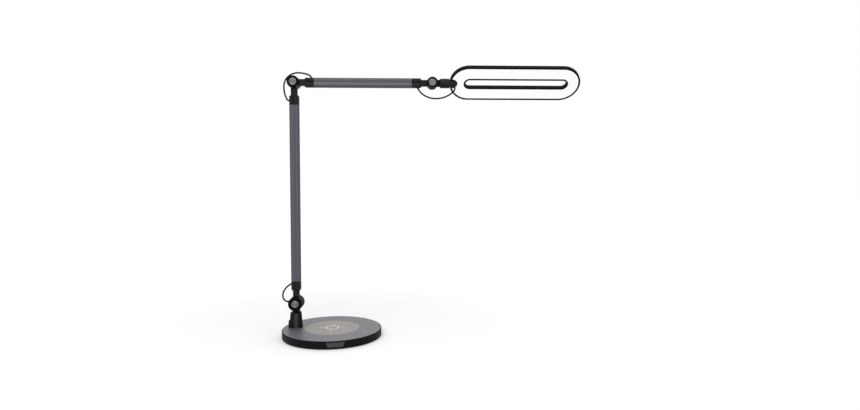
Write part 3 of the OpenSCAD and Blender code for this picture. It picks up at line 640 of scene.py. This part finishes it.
def satin_metal(name, level, roughness=0.4, metallic=1.0):
    """Blasted or plated metal: an even satin with small specks."""
    finish = Finish(name, Metallic=metallic)
    specks = finish.noise(1500, 3)
    return finish.wear(
        colour=finish.blend(specks, tone(level, shift=-12), tone(level, shift=8)),
        roughness=roughness - 0.06 + 0.14 * specks,
        normal=finish.bump(specks, 0.01 * MM, 0.6, finish.soft_edges(0.2 * MM)),
    )


bolt_metal = satin_metal("bolt_metal", 118, 0.3)
knob_metal = satin_metal("knob_metal", 222, 0.45, 0.3)
screw_metal = satin_metal("screw_metal", 168, 0.32)
plate_metal = satin_metal("plate_metal", 70, 0.5)
board_lacquer = satin_metal("board_lacquer", 232, 0.4)
copper_metal = satin_metal("copper_metal", 180, 0.3)
print("materials so far:", len(bpy.data.materials))

# %% [markdown]
# The base's cover is a spun aluminium disc under a grey satin lacquer. Rings round its own
# middle give it the soft fan of light that a spun disc has. The rings are a sine wave of the
# distance from the middle.

# %% Spun cover
COVER_PITCH = 0.5 * MM


def from_middle(finish):
    """The distance from the vertical axis through the frame's origin."""
    return finish.node("ShaderNodeVectorMath", {"operation": "LENGTH"},
                       {0: finish.here((1, 1, 0))}, output="Value")


cover = Finish("cover_spun", Metallic=0.55)
cover_away = from_middle(cover)
cover_rings = cover_away.math("SINE", cover_away * (2 * math.pi / COVER_PITCH))
cover_dust = cover.noise(1900, 3)
cover_cloud = cover.noise(14, 2)
cover_spun = cover.wear(
    colour=cover.blend(cover_cloud * 0.6 + cover_dust * 0.4, tone(106, 106, 112),
                       tone(122, 122, 128)),
    roughness=0.42 + 0.1 * cover_dust,
    normal=cover.bump(cover_rings, 0.012 * MM, 1.0, cover.soft_edges(0.25 * MM)),
)
print("rings on the cover, in mm:", round(COVER_PITCH / MM, 2))

# %% [markdown]
# The charging pad is a soft silicone disc in warm grey. A small printed mark shows where to
# put the phone: a ring and four ticks. The print has no thickness worth a mesh, so it is part
# of the material. Each line of it is a band of the distance from the middle, or of one axis.

# %% Mark on the pad
MARK_LINE = 3 * MM
MARK_RING = 13 * MM
TICK_AT = 22 * MM
TICK_LENGTH = 7 * MM


def band(value, middle, width):
    """1 inside a band of a value, 0 outside, with an edge that is a tenth of it."""
    off = value.math("ABSOLUTE", value - middle)
    return value.net.between(width * 0.55, width * 0.45, off)


def along(finish, axis):
    """The place along one axis of the frame."""
    return finish.node("ShaderNodeSeparateXYZ", None, {0: finish.here()}, output=axis)


pad = Finish("pad_silicone", IOR=1.42)
pad_away = from_middle(pad)
pad_cross = band(along(pad, "X"), 0, MARK_LINE) + band(along(pad, "Y"), 0, MARK_LINE)
pad_ticks = pad_cross * band(pad_away, TICK_AT, TICK_LENGTH)
pad_mark = band(pad_away, MARK_RING, MARK_LINE) + pad_ticks
print("mark on the pad, across in mm:", round((2 * TICK_AT + TICK_LENGTH) / MM))

# %% [markdown]
# Silicone is matt and a little uneven. A fine grain roughens it, and a soft noise mixes two
# tones that lie close together. The mark is then laid over that ground.

# %% Charging pad
pad_grain = pad.noise(2300, 3)
pad_cloud = pad.noise(30, 2)
pad_ground = pad.blend(pad_grain * 0.5 + pad_cloud * 0.5, tone(155, 151, 148),
                       tone(170, 165, 161))
pad_silicone = pad.wear(
    colour=pad.blend(pad_mark, pad_ground, tone(228, 226, 222)),
    roughness=0.62 + 0.12 * pad_grain,
    normal=pad.bump(pad_grain, 0.03 * MM, 0.7, pad.soft_edges(0.4 * MM)),
)
print("pad nodes:", len(pad.tree.nodes))

# %% [markdown]
# The touch lens in the rim is a smoked gloss plastic. Gloss is never perfect: a slow ripple
# and a few faint smears keep its reflection alive. The diodes and the board's green resin are
# gloss too.

# %% Gloss plastics


def gloss(name, colour, roughness=0.12):
    """Gloss plastic with a slow ripple and faint smears."""
    finish = Finish(name, IOR=1.5)
    ripple = finish.noise(60, 2)
    smear = finish.noise(240, 4)
    return finish.wear(
        colour=finish.blend(smear, tone(*colour, shift=-3), tone(*colour, shift=3)),
        roughness=roughness + 0.1 * smear,
        normal=finish.bump(ripple, 0.05 * MM, 0.5, finish.soft_edges(0.2 * MM)),
    )


lens_gloss = gloss("lens_gloss", (44, 44, 47))
led_gloss = gloss("led_gloss", (240, 226, 160), 0.2)
board_resin = gloss("board_resin", (24, 84, 50), 0.3)
print("gloss:", lens_gloss.name, led_gloss.name, board_resin.name)

# %% [markdown]
# The diffuser is opal acrylic with light behind it. It glows evenly, with only the faintest
# clouds, so it gets a weak emission on top of a white ground. Its own shine stays visible when
# it is seen from the side.

# %% Opal diffuser
opal = Finish("opal", IOR=1.49, Emission_Strength=0.45)
opal_cloud = opal.noise(40, 2)
opal_grain = opal.noise(2200, 2)
opal_acrylic = opal.wear(
    colour=opal.blend(opal_cloud, tone(238), tone(246)),
    roughness=0.34 + 0.08 * opal_grain,
    normal=opal.bump(opal_grain, 0.01 * MM, 0.4, opal.soft_edges(0.2 * MM)),
    emission=opal.blend(opal_cloud, tone(250), tone(255)),
)
print("materials in all:", len(bpy.data.materials))

# %% [markdown]
# ## Dressing the parts
#
# A CAD part whose shape is right keeps its mesh and only gets a finish. One table says which
# finish each part wears.

# %% Finish of each part
DRESS = {
    mat_black: "rubber_mat",
    plate_metal: "base_plate ballast_plate",
    screw_metal: "base_screws pillar_screws post_screws arm_screws bracket_screws spindle_nut "
                 "spindle_bracket roll_spindle swivel_stem stem_clip lower_washers "
                 "elbow_washers head_washers inlet_pin",
    base_black: "base_housing power_inlet",
    cover_spun: "top_cover",
    pad_silicone: "charging_pad",
    copper_metal: "charging_coil",
    chip_black: "ferrite_sheet board_parts",
    board_resin: "main_board control_board",
    lens_gloss: "control_panel",
    pillar_black: "foot_pillar",
    joint_black: "post_lower_end post_upper_end arm_fork_end arm_eye_end "
                 "roll_barrel head_hub",
    fork_black: "lower_fork lower_cap elbow_cap head_fork head_cap",
    bolt_metal: "lower_bolt elbow_bolt head_bolt",
    knob_metal: "lower_knob elbow_knob head_knob",
    post_metal: "post_tube",
    arm_metal: "arm_tube",
    grommet_black: "fork_grommet post_grommets arm_grommets hub_grommet",
    wire_black: "lower_jumper elbow_jumper head_jumper",
    head_black: "head_housing",
    opal_acrylic: "diffuser",
    board_lacquer: "led_board",
    led_gloss: "leds",
}
print("finishes in the table:", len(DRESS))

# %% [markdown]
# The table is read part by part. What it forgets would stay bare, so the names that are left
# over are printed. The new pieces get their finishes after it.

# %% Dressing


def wear_finish(piece, material):
    piece.data.materials.clear()
    piece.data.materials.append(material)


dressed = set()
for material, names in DRESS.items():
    for name in names.split():
        wear_finish(frame["nodes"][name], material)
        dressed.add(name)
for wire in (lower_wire, elbow_wire, head_wire, hub_wire):
    wear_finish(wire, wire_black)
for face in bolt_faces:
    wear_finish(face, face_metal)
for knob in knobs:
    wear_finish(knob, knob_metal)
print("bare parts:", sorted(set(frame["nodes"]) - dressed))

# %% [markdown]
# ## Floor and light
#
# A white room is easy to look at and hard to light: enough light to make a floor white would
# wash out the lamp. So the floor and the world are white only for the rays that look at them,
# straight from the camera, off a shine or through a glass. The light that falls on the lamp
# comes from lamps.

# %% Rays that look


def looking(net):
    """1 for rays from the camera, off a shine or through a glass, and 0 for the rest."""
    straight, shine, glass = (
        net.node("ShaderNodeLightPath", output=kind)
        for kind in ("Is Camera Ray", "Is Glossy Ray", "Is Transmission Ray")
    )
    return straight.larger(shine).larger(glass)


# %% [markdown]
# Near the base the floor is white paint that takes the lamp's soft shadow, helped by a little
# glow. Further out it turns into a plain white that meets the world without a line.

# %% Floor
SHADOW_TO = 0.25
WHITE_FROM = 0.7
floor_shape = bmesh.new()
bmesh.ops.create_grid(floor_shape, x_segments=1, y_segments=1, size=6)
floor_mesh = bpy.data.meshes.new("floor")
floor_shape.to_mesh(floor_mesh)
floor_shape.free()
floor = add_object("floor", floor_mesh)
paint = Finish("floor_paint", Roughness=0.9, Emission_Strength=1.0)
floor_away = paint.node("ShaderNodeVectorMath", {"operation": "LENGTH"}, {0: paint.here()},
                        output="Value")
floor_far = paint.between(SHADOW_TO, WHITE_FROM, floor_away)
wear_finish(floor, paint.wear(
    colour=paint.blend(floor_far, tone(248), tone(0)),
    emission=paint.blend(floor_far * looking(paint), tone(116), tone(255)),
))
print("floor, across in m:", floor.dimensions.x)

# %% [markdown]
# The world is a white of strength 1 where it is looked at. As a source of light it is less
# than half as strong, so that the lamps can model the shapes.

# %% World
WORLD_LIGHT = 0.45
world = bpy.data.worlds.new("studio")
bpy.context.scene.world = world
world.use_nodes = True
sky = Net(world.node_tree)
backdrop = sky.tree.nodes["Background"]
backdrop.inputs["Color"].default_value = (1, 1, 1, 1)
sky.feed(backdrop.inputs["Strength"], looking(sky).larger(WORLD_LIGHT))
print("world nodes:", len(sky.tree.nodes))

# %% [markdown]
# Large square lamps stand for soft boxes: a key from the front left, a fill from the right and
# one from above and behind for the upper edges. Two small ones give the bolts and the tubes
# their sparks. The view transform is the standard one, so a colour comes out as it is written.

# %% Lamps


def lamp(name, place, target, size, power):
    """A square soft light that looks at a point."""
    data = bpy.data.lights.new(name, "AREA")
    data.size = size
    data.energy = power
    light = add_object(name, data)
    light.location = place
    light.rotation_euler = (Vector(target) - Vector(place)).to_track_quat("-Z", "Y").to_euler()
    print(name, "watts:", power)


lamp("key_light", (-0.5, -1.7, 2.0), (0.1, 0, 0.25), 1.9, 22)
lamp("fill_light", (1.5, -1.3, 1.1), (0.1, 0, 0.3), 1.8, 7)
lamp("top_light", (0.1, 0.5, 2.2), (0.1, 0, 0.2), 2.2, 8)
lamp("spark_light", (-0.1, -1.9, 1.7), (0, 0, 0.3), 0.5, 3)
lamp("low_light", (-0.35, -1.9, 0.25), (-0.05, 0, 0.1), 0.5, 4.5)
bpy.context.scene.view_settings.view_transform = "Standard"
